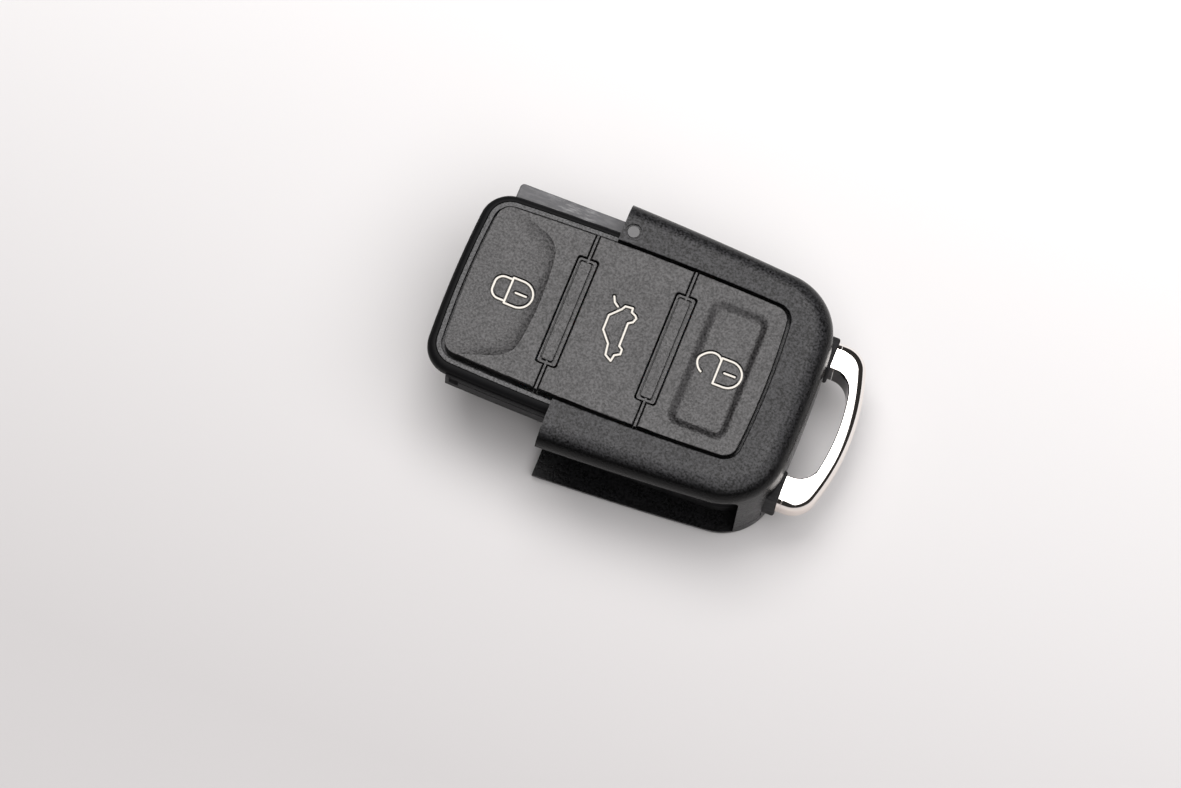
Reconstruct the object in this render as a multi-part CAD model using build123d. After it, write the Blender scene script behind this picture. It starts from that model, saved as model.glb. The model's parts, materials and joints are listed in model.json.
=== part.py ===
from build123d import *
import os

# Remote half of a folding car key, in millimetres.
# X runs from the head end to the key ring end, Y from the blade slot to the far side,
# and Z up from the face that it rests on. Both halves of the outline mirror about Y = 0.

# Stack of heights
SHEET_THICKNESS = 1.3
TUB_FLOOR = 1.2
BOARD_BOTTOM = 10.2
BOARD_THICKNESS = 0.8
SWITCH_ROOM = 1.5
MAT_THICKNESS = 0.5
FRAME_HEIGHT = 2.0
ROOF_THICKNESS = 1.0

# Plan outline of the three buttons together
PLATE_FRONT_X = -25.7
PLATE_RING_X = 15.55
PLATE_FRONT_HALF = 10.9
PLATE_RING_HALF = 10.95
PLATE_SIDE_BOW = 0.58
PLATE_END_BOW = 0.55
PLATE_CORNER = 2.0

# Covers
COVER_FRONT_X = -9.4
COVER_RING_X = 22.0
COVER_FRONT_HALF = 18.1
COVER_RING_HALF = 16.0
COVER_SIDE_BOW = 0.25
COVER_RING_BOW = 0.9
COVER_CORNER = 8.5
COVER_FOOT_CORNER = 7.2
COVER_WALL = 1.4
COVER_BELT_Z = 12.0
COVER_FLANK_Z = 4.5
COVER_FLANK_INSET = 0.15
COVER_WAIST_Z = 8.5
COVER_WAIST_INSET = 0.02
COVER_UNDERSIDE_INSET = 0.5
COVER_TOP_FRONT_INSET = 0.8
COVER_TOP_SIDE_INSET = 0.15
COVER_TOP_RING_INSET = 0.7
COVER_TOP_ROUND = 2.7
COVER_UNDERSIDE_ROUND = 0.9
WINDOW_ROUND = 0.2
SEAM_Z = 2.5
SEAM_GAP = 0.08
LIP_Z = 13.3
CAVITY_TOP_Z = 13.6
SLOT_CORNER = 1.2
SLOT_END_X = 17.85
TONGUE_THICKNESS = 0.8
TONGUE_RISE = 1.3
TONGUE_FRONT_X = -7.5
TONGUE_RING_X = 11.0
LABEL_LENGTH = 15.0
LABEL_WIDTH = 9.0
LABEL_CORNER = 1.5
LABEL_DEPTH = 0.15

# Housing
HOUSING_WALL = 1.0
HOUSING_RING_X = 19.6
HOUSING_RING_CORNER = 6.0
FRONT_UNDERSIDE_Z = 7.2
FRONT_FLOOR = 1.0
SKIRT_TOP_Z = 13.4
SKIRT_FOOT_INSET = 2.2
TUB_FRONT_X = -9.0
TUB_FRONT_WALL = 1.2
BOARD_ROOM_INSET = 0.1
LEDGE = 1.0
RIM_ROUND = 0.95
RAIL_FRONT_X = -24.3
RAIL_BOTTOM_Z = 11.0
FAR_RAIL_TOP_Z = 13.3
FAR_RAIL_REACH = 2.6
FAR_RAIL_END_X = -5.4
NEAR_RAIL_TOP_Z = 14.0
NEAR_RAIL_REACH = 0.25
NEAR_RAIL_FRONT_X = -23.6
NEAR_RAIL_END_X = 13.0
RAIL_EDGE_ROUND = 0.25
FAR_RAIL_CORNER = 0.6
RAIL_GROOVE_Z = 13.0
RAIL_GROOVE_WIDTH = 0.3
RAIL_GROOVE_DEPTH = 0.15
LATCH_X = -23.1
LATCH_WIDTH = 1.3
LATCH_BOTTOM_Z = 11.9
LATCH_HEIGHT = 2.0
LATCH_DEPTH = 0.7

# Buttons, their frame and its two divider bars: a ledge and a groove round a raised ridge
BUTTON_GAP = 0.36
BUTTON_TRAVEL = 0.35
BUTTON_ROOF = 1.5
BUTTON_WALL = 0.9
BUTTON_EDGE_ROUND = 0.15
BUTTON_LINE_GAP = 0.6
BUTTON_FLANGE_REACH = 0.55
BUTTON_FLANGE_HEIGHT = 0.45
FLANGE_BREAK = 2.8
BUTTON_REST_GAP = 0.2
STEM_RADIUS = 1.4
FIRST_BAR_X = -11.95
BAR_PITCH = 13.72
BAR_WIDTH = 2.5
BAR_LENGTH = 15.5
BAR_CLEARANCE = 0.18
BAR_CORNER = 0.35
BAR_LEDGE = 0.28
BAR_LEDGE_DROP = 0.15
BAR_GROOVE_WIDTH = 0.18
BAR_GROOVE_DEPTH = 0.5
RIDGE_EDGE_ROUND = 0.1
RIDGE_SHIFT = 0.08
WEB_WIDTH = 0.28
CROSSBAR_HEIGHT = 0.9
FRAME_LIP = 0.7
FRAME_STRIP = 0.7
FRAME_EDGE_ROUND = 0.12

# Thumb scoop of the lock button, a bowl whose floor sinks from a hinge line before the front edge
SCOOP_HINGE_X = -26.4
SCOOP_FRONT_X = -25.9
SCOOP_RING_X = -15.7
SCOOP_RING_BOW = 0.8
SCOOP_FRONT_HALF = 11.9
SCOOP_RING_HALF = 8.5
SCOOP_CORNER = 3.6
SCOOP_DEPTH = 0.6
SCOOP_RING_RUN = 3.0
SCOOP_SIDE_RUN = 2.0
SCOOP_CORNER_RUN = 0.3

# Thumb dish of the unlock button
DISH_FRONT_X = 5.0
DISH_RING_X = 13.3
DISH_Y = -0.1
DISH_HALF = 9.3
DISH_CORNER = 1.5
DISH_DEPTH = 0.5
DISH_RUN = 1.3
DISH_CORNER_RUN = 0.6

# Symbols let into the buttons
GROOVE_WIDTH = 0.68
GROOVE_DEPTH = 0.4
STROKE_WIDTH = 0.24
STROKE_THICKNESS = 0.36
PADLOCK_HALF = 1.87
PADLOCK_SIDE = 1.4
SHACKLE_REACH = 2.1
SHACKLE_HALF = 1.6
SHACKLE_CORNER = 1.15
DASH_START = 0.95
DASH_LENGTH = 1.45
LOCK_SYMBOL_X = -20.1
UNLOCK_SYMBOL_X = 9.0
UNLOCK_SYMBOL_Y = -0.15
OPEN_SHACKLE = [(0.0, 1.45), (-0.75, 2.1), (-1.7, 2.05), (-2.45, 1.5), (-2.9, 0.8), (-2.75, -0.1), (-2.0, -0.9)]
BOOT_SYMBOL_X = -5.0
CAR_OUTLINE = [
    (-0.48, 2.95), (-1.76, 1.56), (-1.74, -0.59), (-0.46, -2.16), (-0.21, -3.74), (0.71, -4.29),
    (0.86, -3.38), (1.55, -2.95), (1.51, -2.28), (1.02, -1.95), (0.95, 1.43), (1.5, 1.79),
    (1.72, 2.43), (1.48, 2.74), (0.86, 3.03), (0.81, 3.6), (-0.2, 3.5),
]
BOOT_LID = [(-2.03, 4.25), (-1.68, 3.5), (-1.1, 3.1)]

# Key ring loop with its sockets and collars
LOOP_Z = 7.3
LOOP_HEIGHT = 4.4
LOOP_RING_X = 28.25
LOOP_OUTER_HALF = 12.2
LOOP_OUTER_BOW = 2.4
LOOP_OUTER_CORNER = 3.6
LOOP_OPENING_X = 26.2
LOOP_INNER_HALF = 8.0
LOOP_INNER_BOW = 1.1
LOOP_INNER_CORNER = 2.9
LOOP_OUTER_ROUND = 1.5
LOOP_INNER_ROUND = 0.2
SOCKET_X = 22.2
SOCKET_MARGIN = 0.3
SOCKET_DROP = 0.9
SOCKET_ROUND = 0.3
COLLAR_THICKNESS = 0.5
COLLAR_GAP = 0.08
TENON_INSET = 0.9
TENON_LENGTH = 3.6
TENON_CLEARANCE = 0.05

# Light guide beside the status lamp
GUIDE_X = -7.92
GUIDE_Y = 13.65
GUIDE_RADIUS = 0.8
GUIDE_RECESS = 0.1
GUIDE_RING_WIDTH = 0.3
GUIDE_RING_DEPTH = 0.2
LAMP_BAY_HALF = 0.9
LAMP_BAY_REACH = 1.2
LAMP_BAY_WALL = 0.5
LAMP_LENGTH = 0.8
LAMP_WIDTH = 1.6
LAMP_HEIGHT = 0.45

# Switches, plungers and domes
SWITCH_SIDE = 4.5
SWITCH_HEIGHT = 1.0
SWITCH_FLOOR = 0.25
PLUNGER_RADIUS = 0.8
PLUNGER_DEPTH = 0.3
PLUNGER_SLACK = 0.05
DOME_RADIUS = 2.4
DOME_TOP_RADIUS = 1.7
DOME_HEIGHT = 0.5
DOME_SKIN = 0.25
MAT_RIB = 0.6
MAT_SETBACK = 0.2

# Battery and its contacts
BATTERY_X = 3.9
BATTERY_RADIUS = 10.0
BATTERY_HEIGHT = 3.2
BATTERY_EDGE_ROUND = 0.3
BATTERY_CAP_RADIUS = 8.6
BATTERY_CAP_STEP = 0.15
POCKET_CLEARANCE = 0.25
POCKET_WALL = 0.7
POCKET_HEIGHT = 2.4
CONTACT_THICKNESS = 0.25
CONTACT_WIDTH = 4.0
CONTACT_LEAF = 9.0

# Parts on the board: length, width and height
MICROCONTROLLER = (5.0, 5.0, 0.9)
RADIO_CHIP = (4.0, 4.0, 0.9)
CRYSTAL = (3.2, 2.5, 0.7)
RESONATOR = (3.8, 3.8, 1.0)
CHIP_PART = (1.6, 0.8, 0.5)
CHIP_COUNT = 6
CHIP_PITCH = 2.2
CHIP_ROW_Y = 9.0
ANTENNA_SETBACK = 1.0
ANTENNA_WIDTH = 0.8
ANTENNA_THICKNESS = 0.2
ANTENNA_END_X = -14.6
BOARD_PART_Y = 4.6

# Small clearances between neighbours
SLIDING_FIT = 0.05
COVER_CLEARANCE = 0.2
NOTCH_CLEARANCE = 0.1

# Heights that follow from the stack
TUB_FLOOR_TOP = SHEET_THICKNESS + TUB_FLOOR
BOARD_TOP = BOARD_BOTTOM + BOARD_THICKNESS
MAT_BOTTOM = BOARD_TOP + SWITCH_ROOM
MAT_TOP = MAT_BOTTOM + MAT_THICKNESS
FRAME_TOP = MAT_TOP + FRAME_HEIGHT
SHELL_TOP = FRAME_TOP + ROOF_THICKNESS
BUTTON_ROOF_Z = SHELL_TOP - BUTTON_ROOF
FLANGE_TOP = FRAME_TOP - FRAME_LIP - BUTTON_REST_GAP
FLANGE_BOTTOM = FLANGE_TOP - BUTTON_FLANGE_HEIGHT
CROSSBAR_TOP = MAT_TOP + CROSSBAR_HEIGHT
DOME_TOP = MAT_TOP + DOME_HEIGHT
DOME_ROOF_Z = DOME_TOP - DOME_SKIN
LOOP_BOTTOM = LOOP_Z - LOOP_HEIGHT / 2
LOOP_TOP = LOOP_Z + LOOP_HEIGHT / 2
SOCKET_BOTTOM = LOOP_BOTTOM - SOCKET_DROP
SOCKET_TOP = LOOP_TOP + SOCKET_MARGIN
SWITCH_TOP = BOARD_TOP + SWITCH_HEIGHT

# Growth of the plan outline for what surrounds the buttons
FLANGE_POCKET = BUTTON_FLANGE_REACH + COVER_CLEARANCE
FRAME_EDGE = BUTTON_GAP + FRAME_STRIP
HOUSING_CAVITY = FRAME_EDGE + SLIDING_FIT
HOUSING_EDGE = HOUSING_CAVITY + HOUSING_WALL

# Cut lines and middles of the buttons
BAR_XS = [FIRST_BAR_X, FIRST_BAR_X + BAR_PITCH]
CUT_XS = [PLATE_FRONT_X, *BAR_XS, PLATE_RING_X]
BUTTON_NAMES = ["lock", "boot", "unlock"]
BUTTON_XS = [(a + b) / 2 for a, b in zip(CUT_XS, CUT_XS[1:])]
FAR = 60.0
WALL_STEPS = 4


def block(x0, x1, y0, y1, z0, z1):
    """Box between two corners."""
    middle = Pos((x0 + x1) / 2, (y0 + y1) / 2, (z0 + z1) / 2)
    return middle * Box(x1 - x0, y1 - y0, z1 - z0)


def rod(x, y, radius, z0, z1):
    """Upright cylinder."""
    return Pos(x, y, (z0 + z1) / 2) * Cylinder(radius, z1 - z0)


def prism(face, z0, z1):
    """Upright solid over a plan outline."""
    return Pos(0, 0, z0) * extrude(face, z1 - z0)


def side(start, end, bow):
    """Outline edge, bowed out when it has a bow."""
    if bow:
        return SagittaArc(start, end, -bow)
    return Line(start, end)


def barrel(ends, halves, bows, corners):
    """Closed outline about Y = 0: ends and halves are (front, ring), bows (side, front, ring)."""
    front_x, ring_x = ends
    front_half, ring_half = halves
    side_bow, front_bow, ring_bow = bows
    front_x += front_bow
    ring_x -= ring_bow
    points = [(front_x, front_half), (front_x, -front_half), (ring_x, -ring_half), (ring_x, ring_half)]
    bulges = [front_bow, side_bow, ring_bow, side_bow]
    edges = [side(a, b, bow) for a, b, bow in zip(points, points[1:] + points[:1], bulges)]
    face = make_face(Wire(edges))
    for corner, place in zip(corners, (0, -1)):
        if corner:
            face = fillet(face.vertices().group_by(Axis.X)[place], corner)
    return face


def plate_outline(grow=0.0):
    """Plan outline of the button plate, grown evenly."""
    return barrel(
        (PLATE_FRONT_X - grow, PLATE_RING_X + grow),
        (PLATE_FRONT_HALF + grow, PLATE_RING_HALF + grow),
        (PLATE_SIDE_BOW, PLATE_END_BOW, PLATE_END_BOW),
        (PLATE_CORNER + grow, PLATE_CORNER + grow),
    )


def housing_outline(grow=0.0):
    """Plan outline of the housing, which follows the plate but reaches on to the ring end."""
    return barrel(
        (PLATE_FRONT_X - HOUSING_EDGE - grow, HOUSING_RING_X + grow),
        (PLATE_FRONT_HALF + HOUSING_EDGE + grow, PLATE_RING_HALF + HOUSING_EDGE + grow),
        (PLATE_SIDE_BOW, PLATE_END_BOW, 0),
        (PLATE_CORNER + HOUSING_EDGE + grow, HOUSING_RING_CORNER + grow),
    )


def cover_outline(front_inset, side_inset, ring_inset, front_x=COVER_FRONT_X, corner=COVER_CORNER):
    """Plan outline of the covers, drawn in by three amounts."""
    return barrel(
        (front_x, COVER_RING_X - ring_inset),
        (COVER_FRONT_HALF - front_inset, COVER_RING_HALF - side_inset),
        (COVER_SIDE_BOW, 0, COVER_RING_BOW),
        (0, corner - ring_inset),
    )


def outer_body():
    """Both covers as one solid lump, with its rounded edges."""
    even = {COVER_FLANK_Z: COVER_FLANK_INSET, COVER_WAIST_Z: COVER_WAIST_INSET, COVER_BELT_Z: 0}
    foot = cover_outline(*[COVER_UNDERSIDE_INSET] * 3, corner=COVER_FOOT_CORNER)
    crown = cover_outline(COVER_TOP_FRONT_INSET, COVER_TOP_SIDE_INSET, COVER_TOP_RING_INSET)
    levels = [Pos(0, 0, z) * cover_outline(inset, inset, inset) for z, inset in even.items()]
    body = loft([foot, *levels, Pos(0, 0, SHELL_TOP) * crown])
    for level, radius in ((-1, COVER_TOP_ROUND), (0, COVER_UNDERSIDE_ROUND)):
        rim = body.faces().sort_by(Axis.Z)[level].edges().sort_by(lambda edge: edge.center().X)
        body = fillet(rim[1:], radius)
    return body


def cover_cavity(z0, z1):
    """Room inside the covers, with the corner beyond the blade slot left solid."""
    outline = cover_outline(COVER_WALL, COVER_WALL, COVER_WALL, COVER_FRONT_X - COVER_WALL)
    room = prism(outline, z0, z1)
    room -= block(SLOT_END_X, FAR, -FAR, HOUSING_RING_CORNER - PLATE_RING_HALF, z0, z1)
    return room + prism(housing_outline(COVER_CLEARANCE), z0, z1)


def blade_slot(z0, z1, corner=0.0):
    """Room for the folded blade along the near side, with its upper end corner rounded."""
    room = block(-FAR, SLOT_END_X, -FAR, -PLATE_RING_HALF, z0, z1)
    if corner:
        end_edges = room.faces().sort_by(Axis.X)[-1].edges()
        room = fillet(end_edges.sort_by(Axis.Z)[-1:], corner)
    return room


def socket_sides():
    """The two socket places as (low Y, high Y)."""
    low = LOOP_INNER_HALF - SOCKET_MARGIN
    high = LOOP_OUTER_HALF
    return [(low, high), (-high, -low)]


def socket_blocks(grow, x0, x1, z0, z1):
    """Blocks over both socket places, grown sideways."""
    return [block(x0, x1, low - grow, high + grow, z0, z1) for low, high in socket_sides()]


def window_edges(body):
    """Upper edges round the window of the top cover."""
    edges = body.faces().sort_by(Axis.Z)[-1].edges()
    reach = plate_outline(BUTTON_GAP + COVER_CLEARANCE)
    return [edge for edge in edges if edge.center().X > COVER_FRONT_X and reach.is_inside(flat(edge.center()))]


def flat(point):
    """Point brought down to Z = 0."""
    return Vector(point.X, point.Y, 0)


def top_cover():
    """U-shaped upper cover round the buttons."""
    body = outer_body() & block(-FAR, FAR, -FAR, FAR, SEAM_Z + SEAM_GAP, FAR)
    body -= cover_cavity(0, CAVITY_TOP_Z)
    body -= prism(housing_outline(COVER_CLEARANCE), 0, FRAME_TOP)
    body -= blade_slot(0, LIP_Z, SLOT_CORNER)
    window = prism(plate_outline(BUTTON_GAP), 0, FAR)
    body -= window
    body = fillet(window_edges(body), WINDOW_ROUND)
    notch_top = SOCKET_TOP + NOTCH_CLEARANCE
    for notch in socket_blocks(NOTCH_CLEARANCE, HOUSING_RING_X - HOUSING_RING_CORNER, FAR, 0, notch_top):
        body -= notch
    ring_floor = SHELL_TOP - GUIDE_RING_DEPTH
    body -= rod(GUIDE_X, GUIDE_Y, GUIDE_RADIUS + SLIDING_FIT, 0, FAR)
    body -= rod(GUIDE_X, GUIDE_Y, GUIDE_RADIUS + GUIDE_RING_WIDTH, ring_floor, FAR)
    return body


def bottom_cover():
    """Lower cover: a sheet with a low rim, a locating tongue and two seats under the sockets."""
    lump = outer_body()
    body = lump & block(-FAR, FAR, -FAR, FAR, 0, SEAM_Z)
    body -= cover_cavity(SHEET_THICKNESS, SEAM_Z)
    body -= blade_slot(SHEET_THICKNESS, SEAM_Z)
    inset = COVER_WALL + NOTCH_CLEARANCE
    inner = inset + TONGUE_THICKNESS
    tongue_top = SEAM_Z + TONGUE_RISE
    tongue = prism(cover_outline(inset, inset, inset), SHEET_THICKNESS, tongue_top)
    tongue -= prism(cover_outline(inner, inner, inner), SHEET_THICKNESS, tongue_top)
    body += tongue & block(TONGUE_FRONT_X, TONGUE_RING_X, 0, FAR, SHEET_THICKNESS, tongue_top)
    wall = lump - cover_cavity(SHEET_THICKNESS, SHELL_TOP)
    seat_top = SOCKET_BOTTOM - NOTCH_CLEARANCE
    for seat in socket_blocks(-NOTCH_CLEARANCE, HOUSING_RING_X - HOUSING_RING_CORNER, FAR, SEAM_Z, seat_top):
        body += wall & seat
    label = Rectangle(LABEL_LENGTH, LABEL_WIDTH)
    label = fillet(label.vertices(), LABEL_CORNER)
    return body - Pos(BATTERY_X, 0, 0) * extrude(label, LABEL_DEPTH)


def housing_lump():
    """Outside of the housing: raised front, deep tub behind and the two rails."""
    outline = housing_outline()
    body = prism(outline, FRONT_UNDERSIDE_Z, FRAME_TOP)
    rim = body.faces().sort_by(Axis.Z)[-1].edges()
    body = fillet(rim, RIM_ROUND)
    foot = Pos(0, 0, FRONT_UNDERSIDE_Z) * housing_outline(-SKIRT_FOOT_INSET)
    skirt = prism(outline, FRONT_UNDERSIDE_Z, SKIRT_TOP_Z) - loft([foot, Pos(0, 0, SKIRT_TOP_Z) * outline])
    body -= skirt & block(-FAR, TUB_FRONT_X, -FAR, FAR, 0, SKIRT_TOP_Z)
    tub = prism(outline, SHEET_THICKNESS, FRONT_UNDERSIDE_Z)
    body += tub & block(TUB_FRONT_X, FAR, -FAR, FAR, 0, FAR)
    middle_half = PLATE_RING_HALF + HOUSING_EDGE
    far_face = middle_half + FAR_RAIL_REACH
    far_rail = block(RAIL_FRONT_X, FAR_RAIL_END_X, middle_half / 2, far_face, RAIL_BOTTOM_Z, FAR_RAIL_TOP_Z)
    front_edges = far_rail.faces().sort_by(Axis.X)[0].edges()
    far_rail = fillet(front_edges.sort_by(Axis.Y)[-1:], FAR_RAIL_CORNER)
    far_edges = far_rail.faces().sort_by(Axis.Y)[-1].edges().filter_by(Axis.X)
    body += fillet(far_edges, RAIL_EDGE_ROUND)
    body += lamp_bay(LAMP_BAY_WALL, BOARD_BOTTOM - LAMP_BAY_WALL, RAIL_BOTTOM_Z)
    near_rail = prism(housing_outline(NEAR_RAIL_REACH), RAIL_BOTTOM_Z, NEAR_RAIL_TOP_Z)
    near_rail &= block(NEAR_RAIL_FRONT_X, NEAR_RAIL_END_X, -FAR, -middle_half / 2, 0, FAR)
    near_rail -= block(COVER_FRONT_X - COVER_CLEARANCE, FAR, -FAR, 0, LIP_Z, FAR)
    body += near_rail
    return body


def housing_cuts():
    """Everything that is hollow in the housing, apart from the sockets."""
    cavity = prism(plate_outline(HOUSING_CAVITY), MAT_BOTTOM, FAR)
    cavity += prism(plate_outline(-BOARD_ROOM_INSET), BOARD_BOTTOM, MAT_BOTTOM)
    lower = plate_outline(-BOARD_ROOM_INSET - LEDGE)
    cavity += prism(lower, FRONT_UNDERSIDE_Z + FRONT_FLOOR, BOARD_BOTTOM)
    tub = prism(lower, TUB_FLOOR_TOP, BOARD_BOTTOM)
    cavity += tub & block(TUB_FRONT_X + TUB_FRONT_WALL, FAR, -FAR, FAR, 0, FAR)
    cavity += lamp_bay(0, BOARD_BOTTOM, BOARD_TOP + LAMP_HEIGHT + SLIDING_FIT)
    return cavity + rod(GUIDE_X, GUIDE_Y, GUIDE_RADIUS + SLIDING_FIT, BOARD_TOP, FAR)


def lamp_bay(wall, z0, z1):
    """Room beside the housing for the lamp's tab of the board, or its box when it has a wall."""
    half = LAMP_BAY_HALF + wall
    return block(GUIDE_X - half, GUIDE_X + half, 0, GUIDE_Y + LAMP_BAY_REACH + wall, z0, z1)


def rail_details():
    """Latch notch and long groove of the near rail."""
    face_half = PLATE_FRONT_HALF + PLATE_SIDE_BOW + HOUSING_EDGE + NEAR_RAIL_REACH
    latch_top = LATCH_BOTTOM_Z + LATCH_HEIGHT
    notch = block(LATCH_X, LATCH_X + LATCH_WIDTH, -FAR, LATCH_DEPTH - face_half, LATCH_BOTTOM_Z, latch_top)
    outside = housing_outline(NEAR_RAIL_REACH + RAIL_GROOVE_DEPTH)
    groove = prism(outside, RAIL_GROOVE_Z, RAIL_GROOVE_Z + RAIL_GROOVE_WIDTH)
    groove -= prism(housing_outline(NEAR_RAIL_REACH - RAIL_GROOVE_DEPTH), 0, FAR)
    return notch + (groove & block(LATCH_X + LATCH_WIDTH, NEAR_RAIL_END_X, -FAR, 0, 0, FAR))


def battery_pocket():
    """Low wall round the battery, open where the contact strip comes up."""
    z0 = TUB_FLOOR_TOP
    z1 = z0 + POCKET_HEIGHT
    inner = BATTERY_RADIUS + POCKET_CLEARANCE
    wall = rod(BATTERY_X, 0, inner + POCKET_WALL, z0, z1) - rod(BATTERY_X, 0, inner, z0, z1)
    wall &= prism(plate_outline(-BOARD_ROOM_INSET), z0, z1)
    return wall - block(-FAR, BATTERY_X, -CONTACT_WIDTH, CONTACT_WIDTH, z0, z1)


def socket_lump():
    """Two blocks at the ring end that hold the feet of the loop."""
    solids = []
    for lump in socket_blocks(0, PLATE_RING_X, SOCKET_X, SOCKET_BOTTOM, SOCKET_TOP):
        edges = lump.faces().sort_by(Axis.X)[-1].edges()
        solids.append(fillet(edges, SOCKET_ROUND))
    return solids


def tenons(x0, x1, grow):
    """The loop's two feet, or their pockets when grown."""
    low = LOOP_INNER_HALF + TENON_INSET - grow
    high = LOOP_OUTER_HALF - TENON_INSET + grow
    z0 = LOOP_BOTTOM + TENON_INSET - grow
    z1 = LOOP_TOP - TENON_INSET + grow
    return block(x0, x1, low, high, z0, z1) + block(x0, x1, -high, -low, z0, z1)


def inner_housing():
    """Tray that carries the electronics, slides on the rails and holds the loop."""
    body = housing_lump() - housing_cuts()
    body += battery_pocket()
    for lump in socket_lump():
        body += lump
    body -= tenons(SOCKET_X - TENON_LENGTH, FAR, TENON_CLEARANCE)
    return body - rail_details()


def button_frame():
    """Frame round the buttons with two crossbars that carry the divider bars."""
    lip_z = FRAME_TOP - FRAME_LIP
    outline = plate_outline(FRAME_EDGE)
    body = prism(outline, MAT_TOP, FRAME_TOP)
    body -= prism(plate_outline(BUTTON_GAP), lip_z, FRAME_TOP)
    body -= prism(plate_outline(FLANGE_POCKET), MAT_TOP, lip_z)
    body = fillet(body.faces().sort_by(Axis.Z)[-1].edges(), FRAME_EDGE_ROUND)
    inside = prism(outline, MAT_TOP, FRAME_TOP)
    web_reach = prism(plate_outline(), MAT_TOP, SHELL_TOP)
    for x in BAR_XS:
        half = BAR_WIDTH / 2
        body += inside & block(x - half, x + half, -FAR, FAR, MAT_TOP, CROSSBAR_TOP)
        web = block(x - WEB_WIDTH / 2, x + WEB_WIDTH / 2, -FAR, FAR, MAT_TOP, SHELL_TOP - BAR_LEDGE_DROP)
        body += web_reach & web
        body += divider_bar(x)
    return body


def divider_bar(x):
    """Bar between two buttons, with its raised ridge inside a groove."""
    ledge_z = SHELL_TOP - BAR_LEDGE_DROP
    groove_z = SHELL_TOP - BAR_GROOVE_DEPTH
    ridge_grow = -BAR_LEDGE - BAR_GROOVE_WIDTH
    bar = bar_prism(x, 0, MAT_TOP, ledge_z)
    ridge_x = x - RIDGE_SHIFT
    bar -= bar_prism(ridge_x, -BAR_LEDGE, groove_z, ledge_z)
    ridge = bar_prism(ridge_x, ridge_grow, groove_z, SHELL_TOP)
    top_edges = ridge.faces().sort_by(Axis.Z)[-1].edges()
    return bar + fillet(top_edges, RIDGE_EDGE_ROUND)


def bar_prism(x, grow, z0, z1):
    """Upright solid over a divider bar's outline, grown evenly."""
    outline = Rectangle(BAR_WIDTH + 2 * grow, BAR_LENGTH + 2 * grow)
    outline = fillet(outline.vertices(), BAR_CORNER)
    return prism(Pos(x, 0) * outline, z0, z1)


def button_blank(index):
    """Hollow cap with its skirt, retaining flange and stem, before the thumb shapes."""
    x0 = CUT_XS[index] + (BUTTON_LINE_GAP / 2 if index else -FAR)
    x1 = CUT_XS[index + 1] + (-BUTTON_LINE_GAP / 2 if index < len(BAR_XS) else FAR)
    zone = block(x0, x1, -FAR, FAR, 0, FAR)
    cap = prism(plate_outline(), FLANGE_BOTTOM, SHELL_TOP) & zone
    for x in BAR_XS:
        cap -= bar_prism(x, BAR_CLEARANCE, 0, FAR)
    cap = fillet(cap.faces().sort_by(Axis.Z)[-1].edges(), BUTTON_EDGE_ROUND)
    hollow = prism(plate_outline(-BUTTON_WALL), 0, BUTTON_ROOF_Z)
    hollow &= block(x0 + BUTTON_WALL, x1 - BUTTON_WALL, -FAR, FAR, 0, FAR)
    flange = prism(plate_outline(BUTTON_FLANGE_REACH), FLANGE_BOTTOM, FLANGE_TOP)
    flange -= prism(plate_outline(-BUTTON_WALL), 0, FAR)
    passing = BAR_WIDTH / 2 + BAR_CLEARANCE
    for x in BAR_XS:
        hollow -= bar_prism(x, BAR_CLEARANCE + BUTTON_WALL, 0, FAR)
        flange -= block(x - FLANGE_BREAK, x + FLANGE_BREAK, -FAR, FAR, 0, FAR)
    cap -= hollow
    cap += flange & zone
    step_z = CROSSBAR_TOP + BUTTON_TRAVEL + BAR_CLEARANCE
    for x in BAR_XS:
        cap -= block(x - passing, x + passing, -FAR, FAR, 0, step_z)
    return cap + rod(BUTTON_XS[index], 0, STEM_RADIUS, DOME_TOP + SLIDING_FIT, BUTTON_ROOF_Z + SLIDING_FIT)


def scoop_plane(depth):
    """Plane through the scoop's hinge line that lies a depth below the top at the ring side."""
    run = SCOOP_RING_X - SCOOP_HINGE_X
    return Plane((SCOOP_HINGE_X, 0, SHELL_TOP), x_dir=(run, 0, -depth), z_dir=(depth, 0, run))


def scoop_outline(share):
    """Outline of the scoop, measured from its hinge line and drawn in by a share of its runs."""
    ring_inset = share * SCOOP_RING_RUN
    side_inset = share * SCOOP_SIDE_RUN
    return barrel(
        (SCOOP_FRONT_X - SCOOP_HINGE_X, SCOOP_RING_X - SCOOP_HINGE_X - ring_inset),
        (SCOOP_FRONT_HALF - side_inset, SCOOP_RING_HALF - side_inset),
        (0, 0, SCOOP_RING_BOW),
        (0, SCOOP_CORNER - share * SCOOP_CORNER_RUN),
    )


def scoop():
    """Room above the scoop's floor, steep at its rim and flat at its foot."""
    shares = [i / WALL_STEPS for i in range(WALL_STEPS + 1)]
    return loft([scoop_plane(SCOOP_DEPTH * share * (2 - share)) * scoop_outline(share) for share in shares])


def dish():
    """Room above the rectangular dish of the unlock button, with soft S-shaped walls."""
    sections = []
    for share in [i / WALL_STEPS for i in range(WALL_STEPS + 1)]:
        inset = share * DISH_RUN
        depth = DISH_DEPTH * share * share * (3 - 2 * share)
        face = Rectangle(DISH_RING_X - DISH_FRONT_X - 2 * inset, 2 * (DISH_HALF - inset))
        face = fillet(face.vertices(), DISH_CORNER - share * DISH_CORNER_RUN)
        sections.append(Pos((DISH_FRONT_X + DISH_RING_X) / 2, DISH_Y, SHELL_TOP - depth) * face)
    return loft(sections)


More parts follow.
